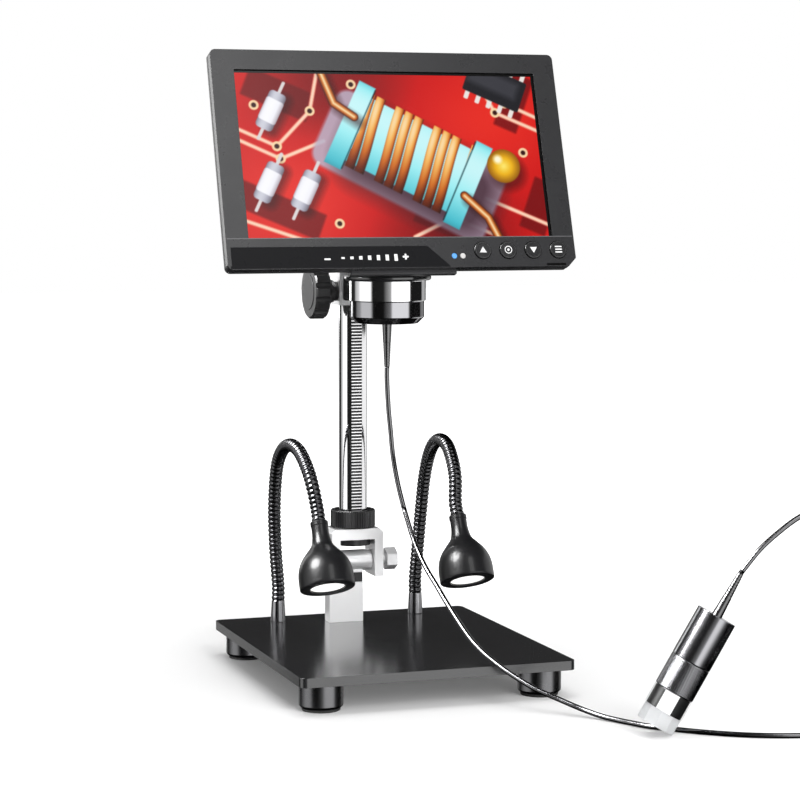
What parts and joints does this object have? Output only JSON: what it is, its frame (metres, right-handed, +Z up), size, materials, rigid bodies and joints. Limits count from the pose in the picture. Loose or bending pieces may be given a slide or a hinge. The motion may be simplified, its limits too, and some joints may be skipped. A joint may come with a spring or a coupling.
{
  "type": "lcd digital microscope",
  "caption": "Digital microscope with a tilting LCD screen on a rack-and-pinion stand, gooseneck lamps and a corded hand probe.",
  "frame": {"origin": "point on the floor under the head's optical axis", "axes": "+Z up along the stand, +X to the right of someone facing the screen, the screen faces -Y"},
  "size_m": [0.3986, 0.3913, 0.4437],
  "materials": {
    "plate_black": "semi-gloss black powder coat",
    "feet_black": "gloss",
    "pad_rubber": "matte",
    "screw_steel": "satin",
    "aluminium": "bead-blasted, anodised",
    "black_paint": "black anodised",
    "dark_chrome": "dark chrome",
    "gooseneck": "gloss black",
    "cord": "satin PVC",
    "post_chrome": "mirror chrome",
    "rack_steel": "milled",
    "black_plastic": "moulded",
    "liner_brass": "turned",
    "dock_gloss": "black chrome",
    "board": "solder mask",
    "relief_rubber": "moulded",
    "knob_black": "moulded, satin",
    "knob_cap": "moulded",
    "bezel_grey": "moulded, fine texture",
    "cover_black": "moulded, fine texture",
    "panel": "lit display",
    "strip_gloss": "high gloss",
    "battery": "film-wrapped",
    "indicator": "clear",
    "button_black": "gloss",
    "lamp_black": "gloss black",
    "lamp_lens": "frosted, lit",
    "probe_gloss": "high gloss black",
    "probe_ring": "fine knurl",
    "clear_tip": "clear acrylic",
    "lens_glass": "coated"
  },
  "bodies": {
    "base": {"base_plate": "plate_black", "feet": "feet_black", "foot_pads": "pad_rubber", "base_screws": "screw_steel", "column_block": "aluminium", "barrel_saddle": "black_paint", "hinge_barrel": "aluminium", "gooseneck_ferrules": "dark_chrome", "ferrule_nuts": "screw_steel", "left_gooseneck": "gooseneck", "right_gooseneck": "gooseneck", "cord_lower": "cord", "cord_coil": "cord", "cord_lead": "cord"},
    "column": {"yoke": "aluminium", "post": "post_chrome", "rack": "rack_steel", "post_cap": "black_plastic", "tilt_washer": "black_paint", "tilt_nut": "screw_steel", "cord_upper": "cord"},
    "collar": {"lock_collar": "black_paint"},
    "tilt_bolt": {"tilt_bolt": "post_chrome"},
    "carriage": {"carriage_block": "aluminium", "bearing_liner": "liner_brass", "pinion_bushes": "black_plastic", "arm_screws": "screw_steel", "head_arm": "black_paint", "head_housing": "black_paint", "hinge_pin": "screw_steel", "dock_flange": "dock_gloss", "dock_cup": "dock_gloss", "dock_board": "board", "dock_relief": "relief_rubber"},
    "focus": {"pinion_shaft": "rack_steel", "left_knob": "knob_black", "right_knob": "knob_black", "knob_caps": "knob_cap"},
    "screen": {"front_bezel": "bezel_grey", "back_cover": "cover_black", "screen_bracket": "screw_steel", "lcd_panel": "panel", "control_strip": "strip_gloss", "main_board": "board", "battery_pack": "battery", "indicator_lights": "indicator"},
    "button_up": {"button_up": "button_black"},
    "button_select": {"button_select": "button_black"},
    "button_down": {"button_down": "button_black"},
    "button_menu": {"button_menu": "button_black"},
    "left_lamp": {"left_lamp_shell": "lamp_black", "left_lamp_lens": "lamp_lens"},
    "right_lamp": {"right_lamp_shell": "lamp_black", "right_lamp_lens": "lamp_lens"},
    "probe": {"probe_body": "probe_gloss", "probe_tip": "clear_tip", "probe_lens": "lens_glass", "probe_board": "board", "probe_relief": "relief_rubber"},
    "probe_ring": {"probe_focus_ring": "probe_ring"}
  },
  "joints": [
    {"name": "post_tilt", "type": "hinge", "parent": "base", "child": "column", "pos_m": [0, 0.08, 0.0706], "axis": [1, 0, 0], "range_deg": [-20, 10], "deforming": ["cord_lower"]},
    {"name": "tilt_bolt_turn", "type": "hinge", "parent": "column", "child": "tilt_bolt", "pos_m": [0, 0.08, 0.0706], "axis": [1, 0, 0], "range_deg": [0, 180]},
    {"name": "lock_collar_turn", "type": "hinge", "parent": "column", "child": "collar", "pos_m": [0, 0.08, 0.1], "axis": [0, 0, 1], "range_deg": [-90, 90]},
    {"name": "carriage_lift", "type": "slide", "parent": "column", "child": "carriage", "axis": [0, 0, 1], "range_m": [-0.1, 0.02], "deforming": ["cord_upper"]},
    {"name": "focus_knob_turn", "type": "hinge", "parent": "carriage", "child": "focus", "pos_m": [0, 0.06635, 0.272], "axis": [-1, 0, 0], "range_deg": [-1280, 260]},
    {"name": "screen_tilt", "type": "hinge", "parent": "carriage", "child": "screen", "pos_m": [0, -0.00603, 0.30303], "axis": [1, 0, 0], "range_deg": [-20, 4]},
    {"name": "button_up_push", "type": "slide", "parent": "screen", "child": "button_up", "axis": [0, 0.9511, -0.309], "range_m": [0, 0.0008], "stiffness_N_per_m": 600, "springref_m": -0.001},
    {"name": "button_select_push", "type": "slide", "parent": "screen", "child": "button_select", "axis": [0, 0.9511, -0.309], "range_m": [0, 0.0008], "stiffness_N_per_m": 600, "springref_m": -0.001},
    {"name": "button_down_push", "type": "slide", "parent": "screen", "child": "button_down", "axis": [0, 0.9511, -0.309], "range_m": [0, 0.0008], "stiffness_N_per_m": 600, "springref_m": -0.001},
    {"name": "button_menu_push", "type": "slide", "parent": "screen", "child": "button_menu", "axis": [0, 0.9511, -0.309], "range_m": [0, 0.0008], "stiffness_N_per_m": 600, "springref_m": -0.001},
    {"name": "left_lamp_swing", "type": "hinge", "parent": "base", "child": "left_lamp", "pos_m": [-0.054, 0.094, 0.0415], "axis": [0, 0, 1], "range_deg": [-40, 8], "deforming": ["left_gooseneck"]},
    {"name": "right_lamp_swing", "type": "hinge", "parent": "base", "child": "right_lamp", "pos_m": [0.054, 0.094, 0.0415], "axis": [0, 0, 1], "range_deg": [-8, 40], "deforming": ["right_gooseneck"]},
    {"name": "probe_lift", "type": "slide", "parent": "base", "child": "probe", "axis": [0, 0, 1], "range_m": [0, 0.04], "deforming": ["cord_lead"]},
    {"name": "probe_focus_turn", "type": "hinge", "parent": "probe", "child": "probe_ring", "pos_m": [0.1008, -0.2365, 0.0069], "axis": [0.482, -0.1078, 0.8695], "range_deg": [-90, 90]}
  ],
  "couplings": [
    {"joint": "focus_knob_turn", "follows": "carriage_lift", "rad_per_m": 222.22}
  ]
}
